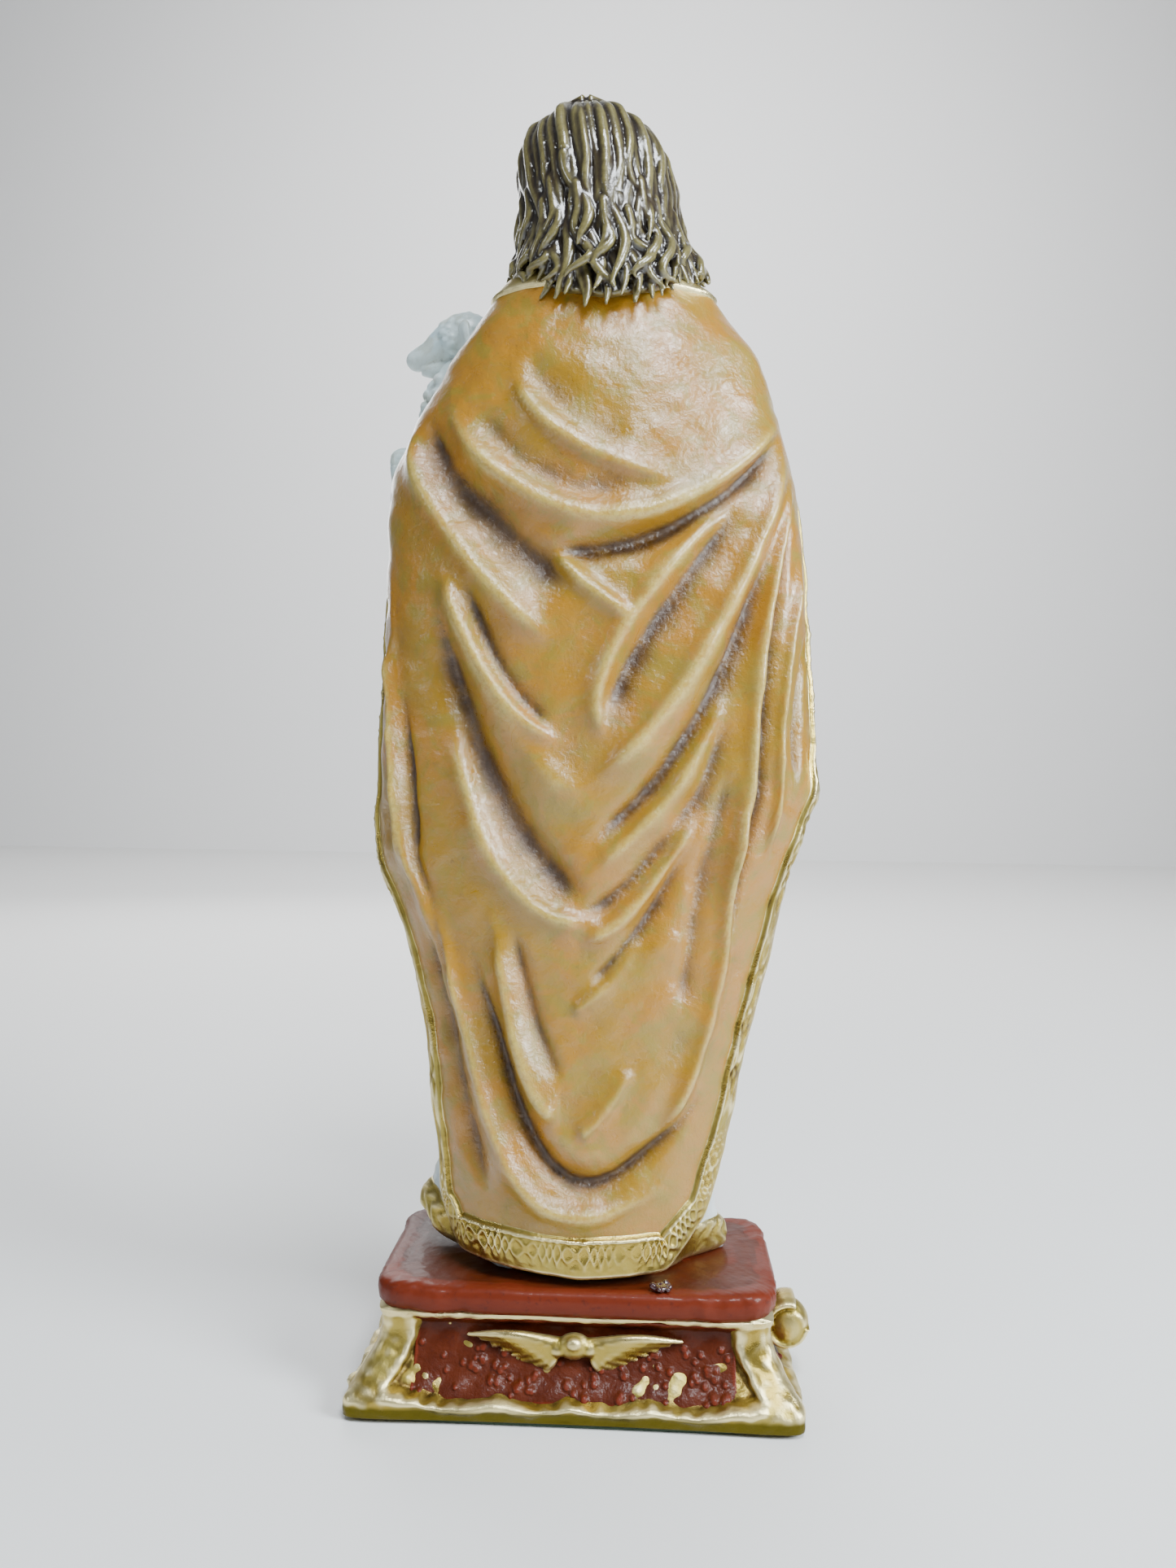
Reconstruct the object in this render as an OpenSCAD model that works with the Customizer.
// Painted statue of a standing, cloaked figure with a lamb on its left arm, on a flared plinth.
// The figure faces -Y, its left side is +X, and the origin is the centre of the felt's underside.

/* [Plinth] */
// Width of the plinth across its flared foot
plinth_w = 67; // [64:1:72]
// Depth of the plinth across its flared foot
plinth_d = 43; // [40:1:46]
// Height of the plinth from the felt to the slab
plinth_h = 13.4; // [12:0.2:15]
// Width left at the plinth's waist
waist_w = 57; // [54:1:58]
// Depth left at the plinth's waist
waist_d = 31; // [30:1:34]
// Thickness of the felt under the plinth
felt_t = 0.6; // [0.4:0.2:1.2]

/* [Slab] */
// Width of the slab on top of the plinth
slab_w = 60; // [58:1:64]
// Depth of the slab on top of the plinth
slab_d = 34; // [32:1:38]
// Thickness of the slab, whose edge is a full half round
slab_t = 4; // [3:0.5:5]

/* [Relief] */
// Width of the back and front tablets
tablet_w = 44; // [38:1:46]
// Height of the tablets
tablet_h = 8.4; // [6:0.2:9]
// Span of the winged ornament on a tablet
wing_span = 32; // [26:1:36]

/* [Figure] */
// Height of the figure from the slab to the top of the hair
figure_h = 182; // [170:1:190]
// Thickness of the mantle
mantle_t = 2.4; // [2:0.1:2.8]
// Width of the gold border on the mantle
border_w = 4.6; // [3:0.2:6]
// Sideways lean of the head towards the lamb, in degrees
head_lean = 8; // [0:1:10]

/* [Pegs] */
// Radius of the two pegs that locate the figure on the slab
foot_peg_r = 1.5; // [1:0.1:1.8]
// Radius of the peg that locates the head in the body
neck_peg_r = 1.5; // [1:0.1:2]

/* [Hidden] */

figure_design_h = 182;
k = figure_h / figure_design_h;
plinth_top = felt_t + plinth_h;
slab_top = plinth_top + slab_t;
gap = 0.1;
gold = "#b8a860";
burgundy = "#6e2417";
ochre = "#b5813f";
cream = "#dfe6e4";
flesh = "#dcae8c";
hair_brown = "#5d5232";
resin = "#e6dfcb";

function middle(ring) = [for (c = [0 : 2]) [for (p = ring) p[c]] * [for (p = ring) 1] / len(ring)];
function mix(a, b, t) = a + (b - a) * t;
function smooth(t) = let (u = min(1, max(0, t))) u * u * (3 - 2 * u);
function unit(v) = v / norm(v);

// A closed solid through a stack of rings with the same number of points, capped from their middles
module loft(rings) {
    n = len(rings[0]);
    m = len(rings);
    points = concat([for (r = rings) each r], [middle(rings[0]), middle(rings[m - 1])]);
    sides = [for (j = [0 : m - 2]) for (i = [0 : n - 1])
        let (a = j * n + i, b = j * n + (i + 1) % n)
        each [[a, b, b + n], [a, b + n, a + n]]];
    low = [for (i = [0 : n - 1]) [n * m, (i + 1) % n, i]];
    high = [for (i = [0 : n - 1]) [n * m + 1, n * (m - 1) + i, n * (m - 1) + (i + 1) % n]];
    polyhedron(points, concat(sides, low, high), convexity = 8);
}

// A closed shell between two skins over the same grid
module shell(outer, inner) {
    rows = len(outer);
    cols = len(outer[0]);
    count = rows * cols;
    points = concat([for (r = outer) each r], [for (r = inner) each r]);
    skin = [for (j = [0 : rows - 2]) for (i = [0 : cols - 2]) let (a = j * cols + i, b = a + cols)
        each [[a, b + 1, a + 1], [a, b, b + 1]]];
    back = [for (f = skin) [f[2] + count, f[1] + count, f[0] + count]];
    rim = concat(
        [for (i = [0 : cols - 1]) i],
        [for (j = [1 : rows - 1]) j * cols + cols - 1],
        [for (i = [cols - 2 : -1 : 0]) (rows - 1) * cols + i],
        [for (j = [rows - 2 : -1 : 1]) j * cols]);
    edge = [for (i = [0 : len(rim) - 1]) let (a = rim[i], b = rim[(i + 1) % len(rim)])
        each [[a, b, b + count], [a, b + count, a + count]]];
    polyhedron(points, concat(skin, back, edge), convexity = 8);
}

// Directions along a path and the rings around it
function heading(path, i) = unit(path[min(i + 1, len(path) - 1)] - path[max(i - 1, 0)]);
function ring_about(p, way, r, n) =
    let (u = unit(cross(way, abs(way[1]) < 0.9 ? [0, 1, 0] : [1, 0, 0])), v = cross(way, u))
    [for (i = [0 : n - 1]) p + r * (sin(360 * i / n) * u + cos(360 * i / n) * v)];

// A ring of the dome that closes an end, t degrees round from the end's own ring
function dome_ring(p, way, r, t, n) = ring_about(p + way * r * sin(t), way, r * cos(t), n);

// A limb with round ends: one closed loft along a path, with a radius at each of its points
module limb(path, radii, n = 14) {
    last = len(path) - 1;
    start = heading(path, 0);
    end = heading(path, last);
    loft(concat(
        [for (t = [-70, -35]) dome_ring(path[0], start, radii[0], t, n)],
        [for (i = [0 : last]) ring_about(path[i], heading(path, i), radii[i], n)],
        [for (t = [35, 70]) dome_ring(path[last], end, radii[last], t, n)]));
}

// A chain of balls, each joined to the next
module chain(path, radii, fn = 14) {
    for (i = [0 : len(path) - 2])
        hull() {
            translate(path[i]) sphere(radii[i], $fn = fn);
            translate(path[i + 1]) sphere(radii[i + 1], $fn = fn);
        }
}

// Sets figure parts on the slab at the figure's scale
module figure() {
    translate([0, 0, slab_top]) scale(k) children();
}

// ---- Felt, plinth, tablets, relief and slab ----

// Half a side view of the plinth: straight at the waist and curving out to its foot
function flare(foot, waist) =
    [for (i = [0 : 10]) let (t = i / 10)
        [mix(waist, foot, pow(1 - t, 2.6)) / 2, felt_t + plinth_h * t]];

module side_view(foot, waist, depth) {
    half = flare(foot, waist);
    mirrored = [for (i = [len(half) - 1 : -1 : 0]) [-half[i][0], half[i][1]]];
    rotate([90, 0, 0]) linear_extrude(depth, center = true) polygon(concat(half, mirrored));
}

module plinth_block() {
    intersection() {
        side_view(plinth_w, waist_w, plinth_d + 1);
        rotate(90) side_view(plinth_d, waist_d, plinth_w + 1);
    }
}

// A tablet set in a side of the plinth, its face leaning out at its foot as the plinth does
module tablet(w, half) {
    depth = 3;
    rise = tablet_h * 0.35;
    translate([-w / 2, half, plinth_top - tablet_h - 1]) rotate([90, 0, 90]) linear_extrude(w)
        polygon([[-depth, 0], [0.6, 0], [-0.2, rise], [-0.8, tablet_h], [-depth, tablet_h]]);
}

side_tablet_w = waist_d - 11;
module back_tablet() { tablet(tablet_w, waist_d / 2); }
module left_tablet() { rotate(-90) tablet(side_tablet_w, waist_w / 2); }
module tablets() {
    for (turn = [0, 180]) rotate(turn) {
        back_tablet();
        left_tablet();
    }
}

// The recesses that the tablets sit in, open to the outside of the plinth
module recesses() {
    reach = 8;
    low = plinth_top - tablet_h - 1;
    for (turn = [0, 180]) rotate(turn) {
        translate([-tablet_w / 2, waist_d / 2 - 3, low]) cube([tablet_w, reach, tablet_h]);
        translate([waist_w / 2 - 3, -side_tablet_w / 2, low]) cube([reach, side_tablet_w, tablet_h]);
    }
}

module wings() {
    feathers = 4;
    mid_z = plinth_top - 4.4;
    face = waist_d / 2 - 0.2;
    difference() {
        union() {
            translate([0, face, mid_z]) sphere(2.6, $fn = 20);
            for (side = [-1, 1]) for (i = [0 : feathers - 1])
                chain([[side * 1.5, face, mid_z - 0.4 * i],
                    [side * (wing_span / 2 - 2.6 * i), face - 0.4, mid_z + 1.8 - 1.4 * i]], [1.2, 0.6]);
        }
        tablets();
    }
}

scroll_r = 4;
scroll_w = 7;
module scroll() {
    difference() {
        translate([-waist_w / 2 - scroll_r, 2.5, felt_t + 8]) rotate([90, 0, 0]) {
            cylinder(h = scroll_w, r = scroll_r, center = true, $fn = 40);
            cylinder(h = scroll_w + 1.6, r = scroll_r * 0.45, center = true, $fn = 24);
        }
        plinth_block();
    }
}

// Side view of the slab, with a half round at each end
module slab_view(length, depth) {
    r = slab_t / 2;
    reach = length / 2 - r;
    arc = [for (a = [-90 : 15 : 90]) [reach + r * cos(a), r * sin(a)]];
    mirrored = [for (i = [len(arc) - 1 : -1 : 0]) [-arc[i][0], arc[i][1]]];
    rotate([90, 0, 0]) linear_extrude(depth, center = true) polygon(concat(arc, mirrored));
}

module slab_block() {
    translate([0, 0, plinth_top + slab_t / 2]) intersection() {
        slab_view(slab_w, slab_d + 1);
        rotate(90) slab_view(slab_d, slab_w + 1);
    }
}

foot_peg_x = 11;
peg_depth = 7;
module foot_peg_pair(r) {
    for (s = [-1, 1]) translate([s * foot_peg_x, 0, plinth_top - peg_depth])
        cylinder(h = 2 * peg_depth + slab_t, r = r, $fn = 32);
}

// ---- Mantle: heights are above the slab, each paired with a half width or a depth ----

mantle_left = [[0, 20], [10, 22], [35, 24.5], [50, 28], [62, 33], [120, 32], [130, 28], [140, 22],
    [150, 15.5], [153, 12]];
mantle_right = [[0, 20], [10, 22], [35, 26], [60, 31.5], [72, 35.5], [110, 33], [120, 32], [130, 29],
    [140, 26], [150, 18], [153, 12]];
mantle_back = [[0, 15], [60, 14.5], [100, 16], [125, 15.5], [140, 13], [153, 8]];
mantle_front = [[0, 10], [60, 12], [90, 13], [115, 14], [135, 12], [148, 9], [153, 7]];
mantle_top = 153;

// Height of the lower hem at each angle from the middle of the back
hem_left = [[0, 1.5], [60, 3], [75, 9], [83, 40], [88, 58], [98, 67]];
hem_right = [[0, 1.5], [40, 2], [60, 9], [70, 22], [82, 58], [90, 75], [98, 80]];
// Angle that the front edge reaches at each share of the way up
edge_angle = [[0, 98], [0.3, 104], [0.5, 108], [0.75, 118], [1, 150]];

// A point of the cloak at an angle from the middle of the back and a height, "out" outside its skin
function cloak(a, z, out) =
    let (w = lookup(z, a > 0 ? mantle_left : mantle_right),
        y = lookup(z, abs(a) < 90 ? mantle_back : mantle_front),
        pleat = 0.5 * sin(a * 14) * max(0, 1 - z / 140) + out)
    [sin(a) * (w + pleat), cos(a) * (y + pleat), z];

// s runs from one front edge (-1) to the other (1), and v from the hem (0) to the neck (1)
function mantle_point(s, v, out = 0) =
    let (low = lookup(abs(s) * 98, s > 0 ? hem_left : hem_right))
    cloak(s * lookup(v, edge_angle), mix(low, mantle_top, v), out);

module mantle_strip(path, thick, under) {
    shell([for (pair = path) [for (p = pair) mantle_point(p[0], p[1], thick)]],
        [for (pair = path) [for (p = pair) mantle_point(p[0], p[1], under)]]);
}

border_up = border_w / mantle_top;
border_in = border_w / 60;
border_top = 1 - 1.2 * border_up;
function hem_height(s) = lookup(abs(s) * 98, s > 0 ? hem_left : hem_right);
// The place inside the rim at s, up from it and in from it, as a mantle place
function inside_rim(s) =
    let (in = s * (1 - border_in), low = hem_height(in))
    [in, (hem_height(s) + border_w - low) / (mantle_top - low)];
// A pair of points on a front edge and inside it, t of the way up; side is 1 or -1
function edge_pair(side, t) =
    let (inner = inside_rim(side))
    [[side, border_top * t], [inner[0], mix(inner[1], border_top, t)]];
// Pairs down the left edge, along the hem and up the right edge
border_path = concat(
    [for (j = [16 : -1 : 1]) edge_pair(1, j / 16)],
    [for (i = [0 : 36]) let (s = 1 - 2 * i / 36) [[s, 0], inside_rim(s)]],
    [for (j = [1 : 16]) edge_pair(-1, j / 16)]);

// ---- Robe: its back half fills the mantle, its front half shows ----

robe_wide = [[0, 23], [12, 20.5], [40, 20], [60, 19], [92, 14], [110, 15], [125, 16], [136, 14], [150, 7]];
robe_front = [[0, 13], [12, 12], [50, 11], [92, 9.5], [98, 9.5], [120, 11.5], [135, 10.5], [146, 7.5],
    [150, 6]];
robe_top = 150;
// Room that the robe leaves under the mantle for its own hem
hem_room = [[0, 1.2], [5, 1.2], [8, 0.2]];

function robe_point(turn, z, out = 0) =
    let (a = turn > 180 ? turn - 360 : turn, side = abs(a),
        inner = cloak(a, z, out - mantle_t - lookup(z, hem_room)),
        fold = 0.8 * sin(a * 9) * max(0, 1 - z / 90) * smooth((side - 95) / 20) + out,
        flare = 5 * exp(-pow((a - 118) / 16, 2)) * max(0, 1 - z / 26),
        w = lookup(z, robe_wide) + fold + flare, d = lookup(z, robe_front) + fold + flare / 2,
        t = smooth((side - 70) / 35))
    [mix(inner[0], sin(a) * w, t), mix(inner[1], cos(a) * d, side < 90 ? 0 : 1), z];

function robe_ring(z) = [for (i = [0 : 47]) robe_point(-180 + 360 * (i + 0.5) / 48, z)];

module robe_body() {
    low_part = [0, 3, 6, 9, 14, 20, 28, 38, 48, 58, 64, 70];
    high_part = [77, 85, 92, 98, 107, 116, 124, 130, 136, 142, 146, robe_top];
    loft([for (z = concat(low_part, high_part)) robe_ring(z)]);
}

// A belt around the robe, from one angle round to another, which keeps clear of it
module belt(low, high, thick, from = 179.9, to = -179.9) {
    steps = 72;
    turn = [for (i = [0 : steps]) mix(from, to, i / steps)];
    levels = [low, mix(low, high, 0.5), high];
    shell([for (z = levels) [for (a = turn) robe_point(a, z, thick)]],
        [for (z = levels) [for (a = turn) robe_point(a, z, gap)]]);
}

// ---- Arms and hands ----

left_arm = [[16, -7.5, 124], [27, -8, 100], [10, -19.5, 106]];
right_arm = [[-16, -7.5, 122], [-30, -7, 94], [-10, -19.5, 98]];
function bend(p, t) = mix(mix(p[0], p[1], t), mix(p[1], p[2], t), t);

module sleeve(arm) {
    steps = 10;
    limb([for (i = [0 : steps]) bend(arm, i / steps)], [for (i = [0 : steps]) 3.6 + i / steps], 18);
}

module finger(i) {
    tip = [-12 + abs(i - 1) * 0.7, 0.2, 2 - 1.3 * i];
    chain([[-6, -1, 2.2 - 1.5 * i], [-9, -0.8, 2.2 - 1.4 * i], tip], [1.15, 1.05, 0.85]);
}

// side is 1 for a hand that reaches towards -X and -1 for its mirror image
module hand(arm, side, tilt) {
    wrist = arm[2];
    difference() {
        translate(wrist) rotate([0, side * tilt, 0]) mirror([side > 0 ? 0 : 1, 0, 0]) {
            chain([[-1, -0.5, 0], [-4, -1, 0], [-6, -1, 0]], [2.6, 2.7, 2.4]);
            for (i = [0 : 3]) finger(i);
            chain([[-3, -1, 2], [-5, -2.2, 4], [-7.4, -2, 5.2]], [1.3, 1.15, 0.9]);
        }
        translate(bend(arm, 1)) sphere(4.9, $fn = 20);
        lamb_torso(gap);
    }
}

// ---- Head and hair ----

neck_z = robe_top;
neck_mid = [-2.4, -1.5];
hair_top = figure_design_h;
// Half widths and depths of the neck and skull, and the middle of each level from front to back
head_wide = [[150, 5.6], [153.5, 5.4], [155, 6], [158, 7.6], [163, 8.8], [168, 9], [173, 8], [176.5, 5.4],
    [178, 2.4]];
head_deep = [[150, 5.6], [153.5, 5.4], [155, 8], [158, 10], [163, 11], [168, 11.2], [173, 10], [176.5, 7],
    [178, 3]];
head_middle = [[150, 0], [153.5, 0], [155, -2.4], [163, -1.5], [178, -1.5]];
function lean(z) = neck_mid[0] + tan(head_lean) * max(0, z - neck_z);

// A point of the head, with a low ridge for a nose on its -Y side
function head_point(a, z, out = 0) =
    let (beak = 2 * exp(-pow((abs(a) - 180) / 12, 2) - pow((z - 162) / 3, 2)))
    [lean(z) + sin(a) * (lookup(z, head_wide) + out),
        neck_mid[1] + lookup(z, head_middle) + cos(a) * (lookup(z, head_deep) + out) - beak, z];

module neck_peg_shape(r) {
    translate([neck_mid[0], neck_mid[1], neck_z - 7]) cylinder(h = 13, r = r, $fn = 32);
}

hair_wide = [[143, 16], [148, 15.6], [153, 15.4], [157, 13.6], [163, 12.4], [172, 11.8], [177, 9],
    [180.5, 5], [182, 1]];
hair_back = [[143, 15], [148, 13.8], [153, 12.8], [160, 12.2], [170, 11.4], [176, 9], [180, 5], [182, -1]];
hair_mid_y = -2;
// Height of the tips, and the angle that the hair reaches, from the middle of the back to the face
hair_tips = [[0, 143], [0.3, 146], [0.5, 151.5], [1, 153.4]];
hair_edge = [[0, 104], [0.4, 108], [0.75, 128], [1, 172]];

// s runs from one side of the face (-1) to the other (1), and v from the tips (0) to the crown (1)
function hair_point(s, v, outer) =
    let (z = mix(lookup(abs(s), hair_tips), hair_top, v), a = s * lookup(v, hair_edge),
        ripple = 0.4 * cos(a * 11) * (1 - v),
        w = lookup(z, hair_wide) + ripple, d = lookup(z, hair_back) - hair_mid_y + ripple,
        under = z < 153.2 ? cloak(a, z, 1.4) : head_point(a, min(z, 177.6), gap + max(0, z - 176) * 0.1))
    outer ? [lean(z) + sin(a) * w, hair_mid_y + cos(a) * d, z]
        : z > 176 ? [lean(z) + sin(a) * w * 0.7, hair_mid_y + cos(a) * d * 0.7, z - 2.2] : under;

// ---- Lamb ----

lamb_spine = [[3, -21, 116], [9, -20.5, 119], [17, -20, 124], [24, -19.5, 131], [26, -18.5, 137.5],
    [24.4, -17.4, 143]];
lamb_girth = [5.2, 6.8, 7.2, 6.6, 5.4, 4.2];
lamb_face = [[22, -16.5, 150.4], [25, -16.8, 150], [28.5, -17, 148.2], [31.5, -17.2, 146.8]];
lamb_face_r = [3.6, 4.4, 3.2, 2.2];
front_legs = [
    [[31.6, -21.5, 130], [35, -21, 130], [35.4, -20.5, 125.6]],
    [[31, -16, 129], [34, -15, 129], [34.2, -15, 124.6]]];
hind_legs = [
    [[0, -25.4, 111.4], [-4, -25.6, 110], [-8, -25, 105]],
    [[-1, -20.4, 109], [-2.4, -22.4, 107], [-2.6, -24.4, 103]]];

module lamb_torso(grow = 0) {
    limb(lamb_spine, [for (r = lamb_girth) r + grow], 20);
}

module leg(p) {
    limb([p[0], p[1], mix(p[1], p[2], 0.9)], [2.2, 1.7, 1.3]);
}

module hoof(p) {
    way = unit(p[2] - p[1]);
    limb([p[2] + way * 1.9, p[2] + way * 3.1], [1.45, 1.5], 12);
}

// ---- Nodes ----

felt_inset = 1.5;
module felt_pad() {
    color("#3b4a38") translate([0, 0, felt_t / 2])
        cube([plinth_w - 2 * felt_inset, plinth_d - 2 * felt_inset, felt_t], center = true);
}

module plinth() {
    color(gold) difference() {
        plinth_block();
        recesses();
        foot_peg_pair(foot_peg_r + gap);
    }
}

module tablet_back() { color(burgundy) back_tablet(); }
module tablet_front() { color(burgundy) rotate(180) back_tablet(); }
module tablet_left() { color(burgundy) left_tablet(); }
module tablet_right() { color(burgundy) rotate(180) left_tablet(); }
module wings_back() { color(gold) wings(); }
module wings_front() { color(gold) rotate(180) wings(); }
module side_scroll() { color(gold) scroll(); }

module slab() {
    color(burgundy) difference() {
        slab_block();
        foot_peg_pair(foot_peg_r + gap);
    }
}

module foot_pegs() { color(resin) foot_peg_pair(foot_peg_r); }

// A drop of adhesive squeezed out beside the mantle's hem
module adhesive_bead() {
    color("#2a1a12") intersection() {
        translate([-12.5, slab_d / 2 - 1.9, slab_top - 0.3]) sphere(1.3, $fn = 24);
        translate([-40, 0, slab_top]) cube([80, 40, 5]);
    }
}

module foot_notches() {
    for (x = [-6.5, 7]) translate([x - 3.6, -25, -1]) cube([7.2, 18, 6.6]);
}

module robe() {
    color(cream) difference() {
        figure() robe_body();
        foot_peg_pair(foot_peg_r + gap);
        figure() neck_peg_shape(neck_peg_r + gap);
        figure() foot_notches();
    }
}

module robe_hem() {
    color(gold) figure() difference() {
        belt(0.4, 5, 0.8);
        foot_notches();
    }
}

module sash() {
    color(gold) figure() belt(91, 96, 1, 260, 100);
}

module mantle() {
    cols = 36;
    rows = 22;
    grid = [for (j = [0 : rows]) [for (i = [0 : cols]) [1 - 2 * i / cols, j / rows]]];
    color(ochre) figure() mantle_strip(grid, 0, -mantle_t);
}

module mantle_border() { color(gold) figure() mantle_strip([for (p = border_path) [p[1], p[0]]], 0.7, gap); }

module collar() {
    path = [for (v = [1 - border_up, 1]) [for (i = [0 : 24]) [1 - 2 * i / 24, v]]];
    color(gold) figure() mantle_strip(path, 0.9, gap);
}

module left_sleeve() { color(cream) figure() sleeve(left_arm); }
module right_sleeve() { color(cream) figure() sleeve(right_arm); }
module left_hand() { color(flesh) figure() hand(left_arm, 1, -20); }
module right_hand() { color(flesh) figure() hand(right_arm, -1, -35); }

module head() {
    levels = [150, 152, 153.5, 155, 158, 160, 162, 164, 168, 171, 173, 175, 176.5, 178];
    color(flesh) figure() difference() {
        loft([for (z = levels) [for (i = [0 : 35]) head_point(-180 + 10 * i, z)]]);
        neck_peg_shape(neck_peg_r + gap);
    }
}

module neck_peg() { color(resin) figure() neck_peg_shape(neck_peg_r); }

module hair() {
    cols = 36;
    rows = 16;
    color(hair_brown) figure() shell(
        [for (j = [0 : rows]) [for (i = [0 : cols]) hair_point(1 - 2 * i / cols, j / rows, true)]],
        [for (j = [0 : rows]) [for (i = [0 : cols]) hair_point(1 - 2 * i / cols, j / rows, false)]]);
}

module foot(x, turn) {
    color(flesh) figure() translate([x, -8, 0]) rotate(turn) hull() {
        translate([0, -1, 2.4]) sphere(2.2, $fn = 16);
        translate([0, -5.6, 1.3]) scale([1.9, 1, 1]) sphere(1.3, $fn = 16);
        translate([-2.4, -5.6, 0]) cube([4.8, 6, 0.4]);
    }
}

module left_foot() { foot(7, 8); }
module right_foot() { foot(-6.5, -6); }

module lamb_body() { color(cream) figure() lamb_torso(); }

module lamb_head() { color(cream) figure() limb(lamb_face, lamb_face_r, 16); }

module lamb_ears() {
    ear_path = [[22.8, 5.4, 150.4], [21.8, 7.2, 148.4], [21.4, 7.8, 146]];
    color(cream) figure() for (side = [-1, 1])
        limb([for (p = ear_path) [p[0], lamb_face[0][1] + side * p[1], p[2]]], [1, 1.3, 0.8], 10);
}

module lamb_front_legs() { color(cream) figure() for (p = front_legs) leg(p); }
module lamb_hind_legs() { color(cream) figure() for (p = hind_legs) leg(p); }

module lamb_hooves() { color("#1d1a17") figure() for (p = concat(front_legs, hind_legs)) hoof(p); }

module lamb_tail() {
    path = [[-3.2, -21.5, 115], [-4.4, -22, 114], [-5.6, -21.6, 112.4]];
    color(cream) figure() limb(path, [1.5, 1.5, 1], 12);
}

felt_pad();
plinth();
tablet_back();
tablet_front();
tablet_left();
tablet_right();
wings_back();
wings_front();
side_scroll();
slab();
foot_pegs();
adhesive_bead();
robe();
robe_hem();
sash();
mantle();
mantle_border();
collar();
left_sleeve();
right_sleeve();
left_hand();
right_hand();
head();
neck_peg();
hair();
left_foot();
right_foot();
lamb_body();
lamb_head();
lamb_ears();
lamb_front_legs();
lamb_hind_legs();
lamb_hooves();
lamb_tail();
